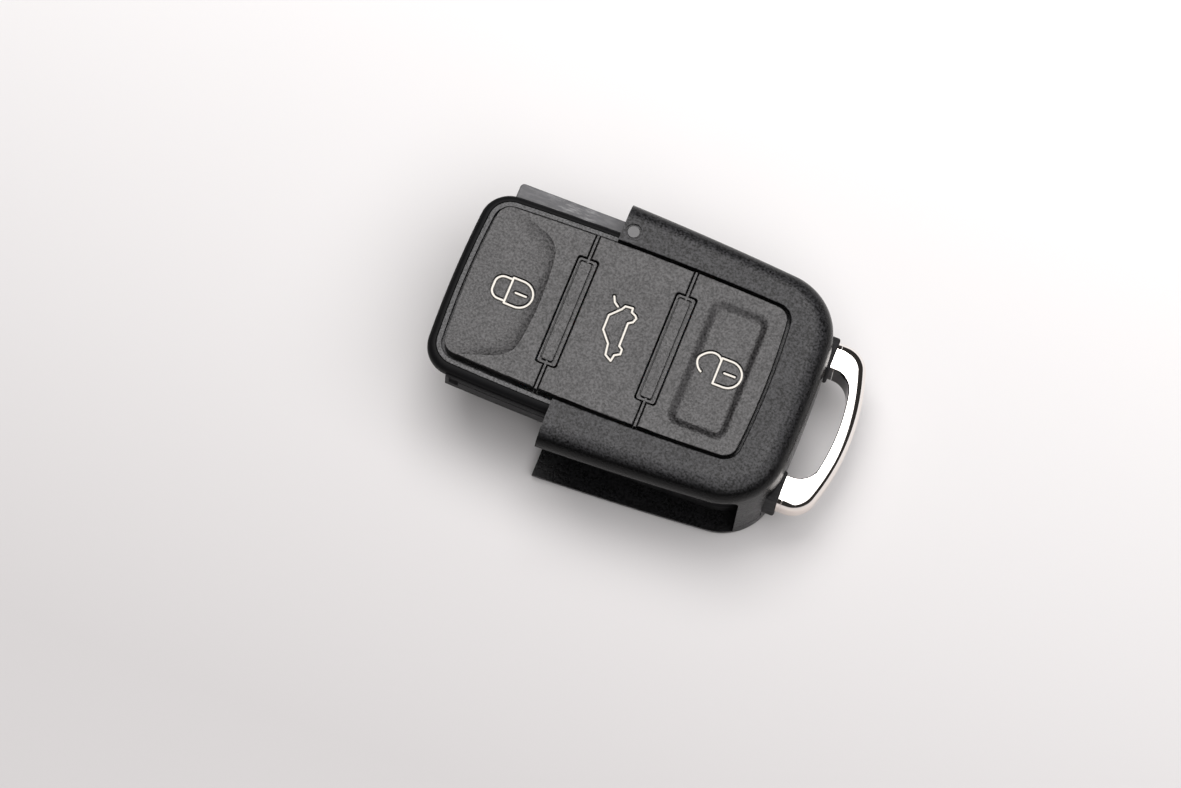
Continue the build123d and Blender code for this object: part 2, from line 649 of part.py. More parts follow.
def padlock(x):
    """Padlock body with its keyhole dash, as stroke lines in plan."""
    body = Polyline((x, PADLOCK_HALF), (x + PADLOCK_SIDE, PADLOCK_HALF))
    body += ThreePointArc(
        (x + PADLOCK_SIDE, PADLOCK_HALF),
        (x + PADLOCK_SIDE + PADLOCK_HALF, 0),
        (x + PADLOCK_SIDE, -PADLOCK_HALF),
    )
    body += Polyline((x + PADLOCK_SIDE, -PADLOCK_HALF), (x, -PADLOCK_HALF), (x, PADLOCK_HALF))
    dash = Line((x + DASH_START, 0), (x + DASH_START + DASH_LENGTH, 0))
    return [body, dash]


def strokes(lines, width):
    """Stroke faces along lines, with round ends and corners, as one sketch."""
    faces = [trace(edge, width) for line in lines for edge in line.edges()]
    ends = [Pos(end.X, end.Y) * Circle(width / 2) for line in lines for end in line.vertices()]
    return Sketch() + faces + ends


def closed_shackle():
    """Shackle of the closed padlock."""
    x0 = LOCK_SYMBOL_X
    x1 = x0 - SHACKLE_REACH
    return FilletPolyline(
        (x0, SHACKLE_HALF), (x1, SHACKLE_HALF), (x1, -SHACKLE_HALF), (x0, -SHACKLE_HALF), radius=SHACKLE_CORNER
    )


def shifted(points, x):
    """Points moved along X."""
    return [(px + x, py) for px, py in points]


def symbol_sketch(name, width):
    """Plan strokes of a button's symbol."""
    if name == "lock":
        return strokes([*padlock(LOCK_SYMBOL_X), closed_shackle()], width)
    if name == "unlock":
        lines = [*padlock(UNLOCK_SYMBOL_X), Spline(shifted(OPEN_SHACKLE, UNLOCK_SYMBOL_X))]
        return Pos(0, UNLOCK_SYMBOL_Y) * strokes(lines, width)
    car = Polyline(shifted(CAR_OUTLINE, BOOT_SYMBOL_X), close=True)
    lid = Polyline(shifted(BOOT_LID, BOOT_SYMBOL_X))
    return strokes([car, lid], width)


def symbol_room(name, width, bottom, top):
    """Upright solid over a symbol between two depths below its button's floor."""
    column = prism(symbol_sketch(name, width), 0, FAR)
    if name == "lock":
        floor = scoop_plane(SCOOP_DEPTH)
    else:
        depth = DISH_DEPTH if name == "unlock" else 0
        floor = Plane((0, 0, SHELL_TOP - depth))
    slab = floor * Pos(0, 0, -(bottom + top) / 2) * Box(2 * FAR, 2 * FAR, bottom - top)
    return column & slab


def button(index):
    """Finished button cap."""
    name = BUTTON_NAMES[index]
    cap = button_blank(index)
    if name == "lock":
        cap -= scoop()
    if name == "unlock":
        cap -= dish()
    return cap - symbol_room(name, GROOVE_WIDTH, GROOVE_DEPTH, -GROOVE_DEPTH)


def symbol(index):
    """Coloured inlay of a button."""
    return symbol_room(BUTTON_NAMES[index], STROKE_WIDTH, GROOVE_DEPTH, GROOVE_DEPTH - STROKE_THICKNESS)


def loop_opening(grow=0.0):
    """Plan outline of the loop's opening, grown evenly."""
    half = LOOP_INNER_HALF + grow
    corner = LOOP_INNER_CORNER + grow
    return barrel((0, LOOP_OPENING_X + grow), (half, half), (0, 0, LOOP_INNER_BOW), (0, corner))


def loop_bar(x0):
    """Bent bar of the loop from a given X on."""
    outer = barrel(
        (0, LOOP_RING_X), (LOOP_OUTER_HALF, LOOP_OUTER_HALF), (0, 0, LOOP_OUTER_BOW), (0, LOOP_OUTER_CORNER)
    )
    body = prism(outer, LOOP_BOTTOM, LOOP_TOP)
    body = fillet(rim_edges(body), LOOP_OUTER_ROUND)
    body -= prism(loop_opening(), LOOP_BOTTOM, LOOP_TOP)
    body &= block(x0, FAR, -FAR, FAR, 0, FAR)
    return fillet(opening_edges(body), LOOP_INNER_ROUND)


def rim_edges(body):
    """Top and bottom edges of a prism, apart from the straight ones at its low X end."""
    edges = ShapeList()
    for level in (0, -1):
        edges += body.faces().sort_by(Axis.Z)[level].edges().sort_by(lambda edge: edge.center().X)[1:]
    return edges


def opening_edges(body):
    """Top and bottom edges of the loop round its opening."""
    faces = body.faces().sort_by(Axis.Z)
    edges = faces[0].edges() + faces[-1].edges()
    reach = loop_opening(LOOP_INNER_ROUND)
    return [edge for edge in edges if reach.is_inside(flat(edge.center()))]


def key_ring_loop():
    """Bright loop with two tenons that sit in the housing's sockets."""
    x0 = SOCKET_X + COLLAR_THICKNESS + COLLAR_GAP
    return loop_bar(x0) + tenons(SOCKET_X - TENON_LENGTH + TENON_CLEARANCE, x0, 0)


def loop_collars():
    """Two thin bright collars between the sockets and the loop."""
    collars = loop_bar(SOCKET_X) & block(SOCKET_X, SOCKET_X + COLLAR_THICKNESS, -FAR, FAR, 0, FAR)
    return collars - tenons(0, FAR, TENON_CLEARANCE)


def switch_mat():
    """Silicone mat: a web with a rib that stands on the board and a hole under each dome."""
    body = prism(plate_outline(HOUSING_CAVITY - MAT_SETBACK), MAT_BOTTOM, MAT_TOP)
    rib_edge = -BOARD_ROOM_INSET - MAT_SETBACK
    rib = prism(plate_outline(rib_edge), BOARD_TOP, MAT_BOTTOM)
    body += rib - prism(plate_outline(rib_edge - MAT_RIB), BOARD_TOP, MAT_BOTTOM)
    for x in BUTTON_XS:
        body -= rod(x, 0, PLUNGER_RADIUS + COVER_CLEARANCE, 0, FAR)
    return body


def dome(index):
    """Silicone dome over a switch, closed at the top."""
    cone = Cone(DOME_RADIUS, DOME_TOP_RADIUS, DOME_HEIGHT)
    cone = Pos(BUTTON_XS[index], 0, (MAT_TOP + DOME_TOP) / 2) * cone
    hollow = rod(BUTTON_XS[index], 0, PLUNGER_RADIUS + COVER_CLEARANCE, 0, DOME_ROOF_Z)
    return cone - hollow


def switch(index):
    """Flat push switch with a blind bore for its plunger."""
    x = BUTTON_XS[index]
    half = SWITCH_SIDE / 2
    body = block(x - half, x + half, -half, half, BOARD_TOP, SWITCH_TOP)
    return body - rod(x, 0, PLUNGER_RADIUS + SLIDING_FIT, BOARD_TOP + SWITCH_FLOOR, SWITCH_TOP)


def plunger(index):
    """Post between dome and switch."""
    return rod(BUTTON_XS[index], 0, PLUNGER_RADIUS, SWITCH_TOP - PLUNGER_DEPTH, DOME_ROOF_Z - PLUNGER_SLACK)


def circuit_board():
    """Board on the housing's ledge, with a tab for the lamp."""
    body = prism(plate_outline(-BOARD_ROOM_INSET - MAT_SETBACK), BOARD_BOTTOM, BOARD_TOP)
    return body + lamp_bay(-COVER_CLEARANCE, BOARD_BOTTOM, BOARD_TOP)


def board_part(size, x, y):
    """Component that stands on the board."""
    length, width, height = size
    return Pos(x, y, BOARD_TOP + height / 2) * Box(length, width, height)


def chip_row(y):
    """Row of small chip parts along the board."""
    start = FIRST_BAR_X - CHIP_PITCH / 2
    return [board_part(CHIP_PART, start + i * CHIP_PITCH, y) for i in range(CHIP_COUNT)]


def loop_antenna():
    """Flat conductor round the front of the board."""
    outer = prism(plate_outline(-ANTENNA_SETBACK), BOARD_TOP, BOARD_TOP + ANTENNA_THICKNESS)
    inner = prism(plate_outline(-ANTENNA_SETBACK - ANTENNA_WIDTH), 0, FAR)
    return (outer - inner) & block(-FAR, ANTENNA_END_X, -FAR, FAR, 0, FAR)


def light_guide():
    """Clear rod from the lamp to the top of the cover."""
    low = BOARD_TOP + LAMP_HEIGHT + SLIDING_FIT
    return rod(GUIDE_X, GUIDE_Y, GUIDE_RADIUS, low, SHELL_TOP - GUIDE_RECESS)


def battery():
    """Coin cell, with its smaller cap downwards on the lower contact."""
    z0 = TUB_FLOOR_TOP + CONTACT_THICKNESS
    z1 = z0 + BATTERY_HEIGHT
    can = rod(BATTERY_X, 0, BATTERY_RADIUS, z0 + BATTERY_CAP_STEP, z1)
    can = fillet(can.edges().group_by(Axis.Z)[-1], BATTERY_EDGE_ROUND)
    return can + rod(BATTERY_X, 0, BATTERY_CAP_RADIUS, z0, z0 + BATTERY_CAP_STEP)


def negative_contact():
    """Leaf under the battery with a leg up to the board."""
    z0 = TUB_FLOOR_TOP
    half = CONTACT_WIDTH / 2
    leg_x = BATTERY_X - BATTERY_RADIUS - POCKET_CLEARANCE - CONTACT_THICKNESS
    leaf = block(leg_x, leg_x + CONTACT_LEAF, -half, half, z0, z0 + CONTACT_THICKNESS)
    return leaf + block(leg_x, leg_x + CONTACT_THICKNESS, -half, half, z0, BOARD_BOTTOM)


def positive_contact():
    """Leaf on top of the battery with a leg up to the board."""
    z0 = TUB_FLOOR_TOP + CONTACT_THICKNESS + BATTERY_HEIGHT
    half = CONTACT_WIDTH / 2
    leaf = block(BATTERY_X, BATTERY_X + CONTACT_LEAF, -half, half, z0, z0 + CONTACT_THICKNESS)
    leg_x = BATTERY_X + CONTACT_LEAF
    return leaf + block(leg_x - CONTACT_THICKNESS, leg_x, -half, half, z0, BOARD_BOTTOM)


def build_nodes():
    """Every piece by its name."""
    nodes = {
        "top_cover": top_cover(),
        "bottom_cover": bottom_cover(),
        "inner_housing": inner_housing(),
        "button_frame": button_frame(),
        "key_ring_loop": key_ring_loop(),
        "loop_collars": loop_collars(),
        "light_guide": light_guide(),
        "switch_mat": switch_mat(),
        "circuit_board": circuit_board(),
        "microcontroller": board_part(MICROCONTROLLER, BAR_XS[0], BOARD_PART_Y),
        "radio_chip": board_part(RADIO_CHIP, BAR_XS[1], BOARD_PART_Y),
        "crystal": board_part(CRYSTAL, BAR_XS[1], -BOARD_PART_Y),
        "saw_resonator": board_part(RESONATOR, BAR_XS[0], -BOARD_PART_Y),
        "chip_capacitors": Compound(chip_row(CHIP_ROW_Y)),
        "chip_resistors": Compound(chip_row(-CHIP_ROW_Y)),
        "loop_antenna": loop_antenna(),
        "status_led": board_part((LAMP_LENGTH, LAMP_WIDTH, LAMP_HEIGHT), GUIDE_X, GUIDE_Y),
        "battery": battery(),
        "negative_contact": negative_contact(),
        "positive_contact": positive_contact(),
    }
    for index, name in enumerate(BUTTON_NAMES):
        nodes[f"{name}_button"] = button(index)
        nodes[f"{name}_symbol"] = symbol(index)
        nodes[f"{name}_dome"] = dome(index)
        nodes[f"{name}_switch"] = switch(index)
        nodes[f"{name}_plunger"] = plunger(index)
    return nodes


os.makedirs("parts", exist_ok=True)
for node, shape in build_nodes().items():
    export_step(shape, f"parts/{node}.step")
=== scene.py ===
import json

import bpy
from mathutils import Matrix, Vector


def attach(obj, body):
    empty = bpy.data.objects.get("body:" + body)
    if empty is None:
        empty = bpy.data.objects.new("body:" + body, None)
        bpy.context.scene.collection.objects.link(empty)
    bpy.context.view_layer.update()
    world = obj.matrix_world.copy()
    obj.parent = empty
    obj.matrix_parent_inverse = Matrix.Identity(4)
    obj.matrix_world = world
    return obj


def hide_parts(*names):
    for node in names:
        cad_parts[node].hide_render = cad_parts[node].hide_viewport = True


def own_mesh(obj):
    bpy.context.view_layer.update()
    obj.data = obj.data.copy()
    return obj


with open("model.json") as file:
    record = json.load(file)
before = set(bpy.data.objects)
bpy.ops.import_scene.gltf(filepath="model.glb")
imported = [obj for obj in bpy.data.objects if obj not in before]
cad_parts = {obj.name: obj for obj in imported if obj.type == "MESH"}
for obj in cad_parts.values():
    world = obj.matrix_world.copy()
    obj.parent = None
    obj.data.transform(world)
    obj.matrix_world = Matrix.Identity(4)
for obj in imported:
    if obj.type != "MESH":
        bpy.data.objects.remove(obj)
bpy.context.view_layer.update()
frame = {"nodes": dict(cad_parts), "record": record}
nodes = frame["nodes"]

MM = 0.001

# Camera, fitted to the photograph
CAMERA_PLACE = (44.695 * MM, -221.457 * MM, 614.101 * MM)
CAMERA_RIGHT = (0.931911, 0.359254, 0.049786)
CAMERA_UP = (-0.354165, 0.871819, 0.338377)
CAMERA_BACK = (0.078159, -0.332970, 0.939693)
CAMERA_LENS = 150.37
SENSOR_WIDTH = 36.0
CLIP_START = 0.01

# Studio
WORLD_COLOUR = (1.0, 0.93, 0.88)
WORLD_STRENGTH = 0.03
KEY_PLACE = (-0.13, 0.20, 0.54)
KEY_SIZE = (0.42, 0.36)
KEY_POWER = 2.3
KEY_COLOUR = (1.0, 0.98, 0.97)
FILL_PLACE = (0.30, -0.12, 0.8)
FILL_SIZE = (1.3, 1.1)
FILL_POWER = 10.5
FILL_COLOUR = (1.0, 0.98, 0.98)

# Colours
COVER_COLOUR = (0.0105, 0.0105, 0.0112)
BUTTON_COLOUR = (0.0145, 0.0141, 0.0145)
STRIP_COLOUR = (0.018, 0.018, 0.019)
HOUSING_COLOUR = (0.0035, 0.0035, 0.0040)
# Grey of the far rail: painted sheen where the light falls on it, together with wear
RAIL_COLOUR = (0.105, 0.105, 0.110)
SCUFF_COLOUR = (0.24, 0.24, 0.245)
SYMBOL_COLOUR = (0.68, 0.65, 0.59)
LENS_COLOUR = (0.030, 0.030, 0.033)
CHROME_COLOUR = (0.93, 0.90, 0.87)
# Painted warm reflection on the plating's sides
CHROME_PAINTED_SIDE_REFLECTION = (0.86, 0.77, 0.71)
# Painted dark reflection on the wall in the loop's opening
CHROME_PAINTED_OPENING_REFLECTION = (0.05, 0.045, 0.045)
SILICONE_COLOUR = (0.30, 0.31, 0.33)
BOARD_COLOUR = (0.010, 0.085, 0.040)
TRACE_COLOUR = (0.030, 0.160, 0.070)
EPOXY_COLOUR = (0.012, 0.012, 0.013)
CAPACITOR_COLOUR = (0.36, 0.25, 0.15)
RESISTOR_COLOUR = (0.015, 0.015, 0.017)
TIN_COLOUR = (0.70, 0.71, 0.73)
CAN_COLOUR = (0.66, 0.66, 0.68)
COPPER_COLOUR = (0.80, 0.52, 0.30)
CELL_COLOUR = (0.72, 0.71, 0.69)
LAMP_COLOUR = (0.80, 0.42, 0.06)
PLUNGER_COLOUR = (0.62, 0.62, 0.60)

# Spans that values are mapped from and to
UNIT = (0.0, 1.0)
FADE = (1.0, 0.0)
NOISE_SPAN = (0.3, 0.7)

# Sockets of the mix node that are used for colours
MIX_FACTOR = 0
MIX_FIRST = 6
MIX_SECOND = 7
MIX_RESULT = 2

# Slow cloud and pale specks of plain pieces, each noise as its scale, detail and roughness
CLOUD_NOISE = (150.0, 3.0, 0.6)
CLOUD_DARK = 0.85
CLOUD_PALE = 1.15
SPECK_NOISE = (2600.0, 4.0, 0.7)
SPECK_SPAN = (0.62, 0.80)
SPECK_GAIN = 3
SPECK_LIFT = 0.02

# Grained plastic, each bump as its depth and strength
GRAIN_NOISE = (3400.0, 2.0, 0.65)
GRAIN_BUMP = (0.05 * MM, 1.0)
PEAK_SPAN = (0.36, 0.64)
PIT_SHADE = 0.0
PEAK_SHADE = 4.6
TOP_SPAN = (0.65, 0.98)
# Painted shade: upright sides keep this share of the colour, without grain
PAINTED_SIDE_SHADE = 0.2
SIDE_ROUGHNESS = 0.9
STRIP_Z = 15.1 * MM
STRIP_EDGE = 0.02 * MM
# Painted shade low down, in the blade slot: below this height the colour fades down to a share of itself
INSIDE_Z = 6.0 * MM
INSIDE_FADE = 2 * MM
PAINTED_SLOT_SHADE = 0.2
GLOSS_NOISE = (300.0, 3.0, 0.6)
GLOSS_SWING = 0.04
COVER_PLASTIC = {"colour": COVER_COLOUR, "roughness": 0.30, "specular": 0.18}
BUTTON_PLASTIC = {"colour": BUTTON_COLOUR, "roughness": 0.32, "specular": 0.33, "strip": True}

# Tray and its rails
RAIL_TOP = 13.45 * MM
RAIL_EDGE = 0.1 * MM
FAR_RAIL_Y = 12.9 * MM
# Share of the far rail's painted sheen and wear that the tray takes below the rail top elsewhere
NEAR_SHEEN_AND_WEAR = 0.12
HOUSING_SPECKS = 0.05
RAIL_SPECKS = 0.2
STREAK_NOISE = (1800.0, 4.0, 0.7)
STREAK_STRETCH = (0.25, 1.0, 1.0)
STREAK_SPAN = (0.46, 0.62)
STREAK_SHARE = (0.0, 0.9)
PATCH_NOISE = (220.0, 2.0, 0.5)
PATCH_SPAN = (0.42, 0.62)
PATCH_SHARE = (0.25, 1.0)
HOUSING_ROUGHNESS = (0.55, 0.30)
HOUSING_SPECULAR = 0.10
HOUSING_NOISE = (3400.0, 2.0, 0.6)
HOUSING_BUMP = (0.015 * MM, 1.0)

# Plating of the loop and its collars
CHROME_TOP_SPAN = (0.1, 0.7)
OPENING_X = 26.25 * MM
OPENING_HALF = 8.05 * MM
OPENING_EDGE = 0.1 * MM
SMUDGE_NOISE = (260.0, 4.0, 0.6)
SMUDGE_SPAN = (0.35, 0.75)
CHROME_ROUGHNESS = (0.03, 0.10)
SCRATCH_NOISE = (3200.0, 3.0, 0.6)
SCRATCH_STRETCH = (1.0, 0.08, 1.0)
SCRATCH_BUMP = (0.002 * MM, 0.3)

# Sheet metal
LINE_NOISE = (4200.0, 3.0, 0.6)
LINE_SHADE = 0.85
LINE_SMOOTHER = 0.06
LINE_ROUGHER = 0.08
LINE_BUMP = (0.004 * MM, 0.6)
CAN_SHEET = {"colour": CAN_COLOUR, "roughness": 0.30, "stretch": (0.1, 1.0, 1.0)}
COPPER_SHEET = {"colour": COPPER_COLOUR, "roughness": 0.28, "stretch": (1.0, 1.0, 1.0)}
CONTACT_SHEET = {"colour": TIN_COLOUR, "roughness": 0.26, "stretch": (0.08, 1.0, 1.0)}

# Coin cell
CELL_X = 3.9 * MM
RING_WAVE = {"Scale": 900.0, "Distortion": 0.6, "Detail": 2.0}
RING_BUMP = (0.003 * MM, 0.6)
STAIN_NOISE = (350.0, 3.0, 0.6)
STAIN_SHADE = 0.8
CELL_ROUGHNESS = (0.22, 0.34)

# Circuit board
TRACK_GRID = {"Scale": 420.0, "Mortar Size": 0.06}
TRACK_BUMP = (0.02 * MM, 0.5)
WEAVE_NOISE = (5200.0, 2.0, 0.5)
WEAVE_STRETCH = (1.0, 0.15, 1.0)
WEAVE_DARK = 0.8
WEAVE_PALE = 1.2
BOARD_ROUGHNESS = 0.3

# Chips in their rows
FIRST_CHIP_X = -13.05 * MM
CHIP_HALF_PITCH = 1.1 * MM
CHIP_BODY_HALF = 0.5 * MM
CHIP_EDGE = 0.01 * MM
CHIP_SPECKS = 0.1
SOLDER_NOISE = (2600.0, 3.0, 0.6)
SOLDER_ROUGHNESS = (0.30, 0.45)
SOLDER_BUMP = (0.01 * MM, 0.6)

# Moulded pieces
SKIN_NOISE = (2400.0, 3.0, 0.6)
SKIN_SWING = 0.05
SKIN_STRENGTH = 0.8
LIGHT_DEPTH = 0.4 * MM
SYMBOL_PAINT = {"colour": SYMBOL_COLOUR, "roughness": 0.5, "depth": 0.006 * MM, "specks": 0.0}
LENS_RESIN = {"colour": LENS_COLOUR, "roughness": 0.22, "depth": 0.003 * MM, "specks": 0.05}
SOFT_RUBBER = {"colour": SILICONE_COLOUR, "roughness": 0.55, "depth": 0.008 * MM, "through": 0.4}
CHIP_EPOXY = {"colour": EPOXY_COLOUR, "roughness": 0.5, "depth": 0.010 * MM, "specks": 0.3}
LAMP_RESIN = {"colour": LAMP_COLOUR, "roughness": 0.2, "depth": 0.004 * MM, "specks": 0.05, "through": 0.3}
PLUNGER_RESIN = {"colour": PLUNGER_COLOUR, "roughness": 0.4, "depth": 0.006 * MM}

# Table
FLOOR_HALF = 1.2
# Painted shade: the table greys from the far side towards the near side
FLOOR_FAR = (0.78, 0.775, 0.778)
FLOOR_NEAR = (0.53, 0.52, 0.522)
FLOOR_BAND = 60 * MM
FLOOR_ROUGHNESS = (0.70, 0.80)
FLOOR_SPECULAR = 0.2
TOOTH_NOISE = (1500.0, 3.0, 0.6)
TOOTH_BUMP = (0.01 * MM, 0.2)


def feed(tree, node, inputs):
    """Fills a node's inputs with values or with other nodes' outputs."""
    for key, value in inputs.items():
        if isinstance(value, bpy.types.NodeSocket):
            tree.links.new(value, node.inputs[key])
        else:
            node.inputs[key].default_value = value


def add_node(tree, kind, inputs=None, **settings):
    """New shader node with its settings and inputs."""
    node = tree.nodes.new(kind)
    for key, value in settings.items():
        setattr(node, key, value)
    feed(tree, node, inputs or {})
    return node


def new_material(name):
    """Empty node material with its principled shader."""
    material = bpy.data.materials.new(name)
    material.use_nodes = True
    tree = material.node_tree
    tree.nodes.clear()
    shader = add_node(tree, "ShaderNodeBsdfPrincipled")
    add_node(tree, "ShaderNodeOutputMaterial", {"Surface": shader.outputs["BSDF"]})
    return material, tree, shader


def object_place(tree):
    """Place on the object, in metres of its own frame."""
    return add_node(tree, "ShaderNodeTexCoord").outputs["Object"]


def axis_value(tree, vector, axis):
    """One coordinate of a vector."""
    return add_node(tree, "ShaderNodeSeparateXYZ", {"Vector": vector}).outputs[axis]


def stretched(tree, vector, scale):
    """Vector scaled by three factors."""
    return add_node(tree, "ShaderNodeMapping", {"Vector": vector, "Scale": scale}).outputs["Vector"]


def noise(tree, place, settings):
    """Noise value between 0 and 1."""
    scale, detail, roughness = settings
    inputs = {"Vector": place, "Scale": scale, "Detail": detail, "Roughness": roughness}
    return add_node(tree, "ShaderNodeTexNoise", inputs).outputs["Fac"]


def spread(tree, value, span, result=UNIT):
    """Value mapped from one span to another, clamped."""
    low, high = span
    to_low, to_high = result
    inputs = {"Value": value, "From Min": low, "From Max": high, "To Min": to_low, "To Max": to_high}
    return add_node(tree, "ShaderNodeMapRange", inputs).outputs["Result"]


def around(middle, half):
    """Span that reaches as far to each side of its middle."""
    return middle - half, middle + half


def calculate(tree, operation, *values):
    """Result of a math node."""
    return add_node(tree, "ShaderNodeMath", dict(enumerate(values)), operation=operation).outputs[0]


def times(tree, first, second):
    """Product of two values."""
    return calculate(tree, "MULTIPLY", first, second)


def tinted(colour, factor):
    """Colour made darker or paler by a factor."""
    return [channel * factor for channel in colour]


def opaque(colour):
    """Colour with full opacity, or a node's output as it is."""
    return colour if isinstance(colour, bpy.types.NodeSocket) else (*colour, 1.0)


def blend_colour(tree, factor, first, second):
    """Mix of two colours."""
    inputs = {MIX_FACTOR: factor, MIX_FIRST: opaque(first), MIX_SECOND: opaque(second)}
    return add_node(tree, "ShaderNodeMix", inputs, data_type="RGBA").outputs[MIX_RESULT]


def bump(tree, height, settings):
    """Bump normal from a height."""
    depth, strength = settings
    inputs = {"Height": height, "Distance": depth, "Strength": strength}
    return add_node(tree, "ShaderNodeBump", inputs).outputs["Normal"]


def upwards(tree):
    """How far a surface faces up or down: 1 when level and 0 when upright."""
    normal = add_node(tree, "ShaderNodeTexCoord").outputs["Normal"]
    return calculate(tree, "ABSOLUTE", axis_value(tree, normal, "Z"))


def shaded(tree, place, colour, specks):
    """Colour with a slow cloud over it and fine pale specks."""
    cloud = noise(tree, place, CLOUD_NOISE)
    tint = blend_colour(tree, cloud, tinted(colour, CLOUD_DARK), tinted(colour, CLOUD_PALE))
    speck = spread(tree, noise(tree, place, SPECK_NOISE), SPECK_SPAN, (0.0, specks))
    return blend_colour(tree, speck, tint, [min(c * SPECK_GAIN + SPECK_LIFT, 1.0) for c in colour])


def grained(tree, peak, colour):
    """Colour that is dark in the pits of the grain and pale on its peaks."""
    return blend_colour(tree, peak, tinted(colour, PIT_SHADE), tinted(colour, PEAK_SHADE))


def plastic(name, colour, roughness, specular, strip=False):
    """Grained plastic with painted shade on its upright sides, which are also slightly glossier, painted
    shade on everything below about 6 mm, such as the inside of the blade slot, and at need a paler low
    strip.
    """
    material, tree, shader = new_material(name)
    place = object_place(tree)
    height = axis_value(tree, place, "Z")
    grain = noise(tree, place, GRAIN_NOISE)
    peak = spread(tree, grain, PEAK_SPAN)
    tint = grained(tree, peak, colour)
    if strip:
        below = spread(tree, height, around(STRIP_Z, STRIP_EDGE), FADE)
        tint = blend_colour(tree, below, tint, grained(tree, peak, STRIP_COLOUR))
    # Painted shade on upright sides: they lose the grain and keep only a share of the colour
    level = spread(tree, upwards(tree), TOP_SPAN)
    # Painted shade low down, in the blade slot
    slot_shade = spread(tree, height, (INSIDE_Z - INSIDE_FADE, INSIDE_Z), (PAINTED_SLOT_SHADE, 1.0))
    shade = times(tree, level, slot_shade)
    gloss = spread(tree, noise(tree, place, GLOSS_NOISE), NOISE_SPAN, around(roughness, GLOSS_SWING))
    feed(tree, shader, {
        "Base Color": blend_colour(tree, shade, tinted(colour, PAINTED_SIDE_SHADE), tint),
        "Roughness": times(tree, gloss, spread(tree, shade, UNIT, (SIDE_ROUGHNESS, 1.0))),
        "Specular IOR Level": specular,
        "Normal": bump(tree, grain, GRAIN_BUMP),
    })
    return material


def housing_plastic(name):
    """Near-black plastic with a grey painted sheen and scuffs on the far rail, where the head slides, and a
    little of both below the rail top elsewhere.
    """
    material, tree, shader = new_material(name)
    place = object_place(tree)
    # Painted sheen on the far rail, together with its scuffs and wear
    low = spread(tree, axis_value(tree, place, "Z"), (RAIL_TOP, RAIL_TOP + RAIL_EDGE), FADE)
    far = spread(tree, axis_value(tree, place, "Y"), (FAR_RAIL_Y - RAIL_EDGE, FAR_RAIL_Y), (NEAR_SHEEN_AND_WEAR, 1.0))
    sheen_and_wear = times(tree, low, far)
    plain = shaded(tree, place, HOUSING_COLOUR, HOUSING_SPECKS)
    sheen_and_wear_colour = shaded(tree, place, RAIL_COLOUR, RAIL_SPECKS)
    streak = noise(tree, stretched(tree, place, STREAK_STRETCH), STREAK_NOISE)
    patch = spread(tree, noise(tree, place, PATCH_NOISE), PATCH_SPAN, PATCH_SHARE)
    scuff = times(tree, spread(tree, streak, STREAK_SPAN, STREAK_SHARE), patch)
    tint = blend_colour(tree, sheen_and_wear, plain, sheen_and_wear_colour)
    feed(tree, shader, {
        "Base Color": blend_colour(tree, times(tree, scuff, sheen_and_wear), tint, SCUFF_COLOUR),
        "Roughness": spread(tree, sheen_and_wear, UNIT, HOUSING_ROUGHNESS),
        "Specular IOR Level": HOUSING_SPECULAR,
        "Normal": bump(tree, noise(tree, place, HOUSING_NOISE), HOUSING_BUMP),
    })
    return material


def chrome(name):
    """Bright plating with smudges and hair scratches, a painted warm reflection on its sides and a painted
    dark reflection on the wall in the opening.
    """
    material, tree, shader = new_material(name)
    place = object_place(tree)
    # Painted dark reflection on the wall in the opening, found by its place
    across = calculate(tree, "ABSOLUTE", axis_value(tree, place, "Y"))
    within = spread(tree, across, (OPENING_HALF, OPENING_HALF + OPENING_EDGE), FADE)
    behind = spread(tree, axis_value(tree, place, "X"), (OPENING_X, OPENING_X + OPENING_EDGE), FADE)
    # Painted reflections: warm on the sides, dark on the wall in the opening
    painted_reflection = blend_colour(tree, times(tree, within, behind), CHROME_PAINTED_SIDE_REFLECTION, CHROME_PAINTED_OPENING_REFLECTION)
    level = spread(tree, upwards(tree), CHROME_TOP_SPAN)
    scratch = noise(tree, stretched(tree, place, SCRATCH_STRETCH), SCRATCH_NOISE)
    feed(tree, shader, {
        "Base Color": blend_colour(tree, level, painted_reflection, CHROME_COLOUR),
        "Metallic": 1.0,
        "Roughness": spread(tree, noise(tree, place, SMUDGE_NOISE), SMUDGE_SPAN, CHROME_ROUGHNESS),
        "Normal": bump(tree, scratch, SCRATCH_BUMP),
    })
    return material


def drawn_metal(name, colour, roughness, stretch):
    """Sheet metal with a fine mottle, drawn out into lines where a stretch factor is small."""
    material, tree, shader = new_material(name)
    lines = noise(tree, stretched(tree, object_place(tree), stretch), LINE_NOISE)
    gloss = (roughness - LINE_SMOOTHER, roughness + LINE_ROUGHER)
    feed(tree, shader, {
        "Base Color": blend_colour(tree, lines, tinted(colour, LINE_SHADE), colour),
        "Metallic": 1.0,
        "Roughness": spread(tree, lines, NOISE_SPAN, gloss),
        "Normal": bump(tree, lines, LINE_BUMP),
    })
    return material


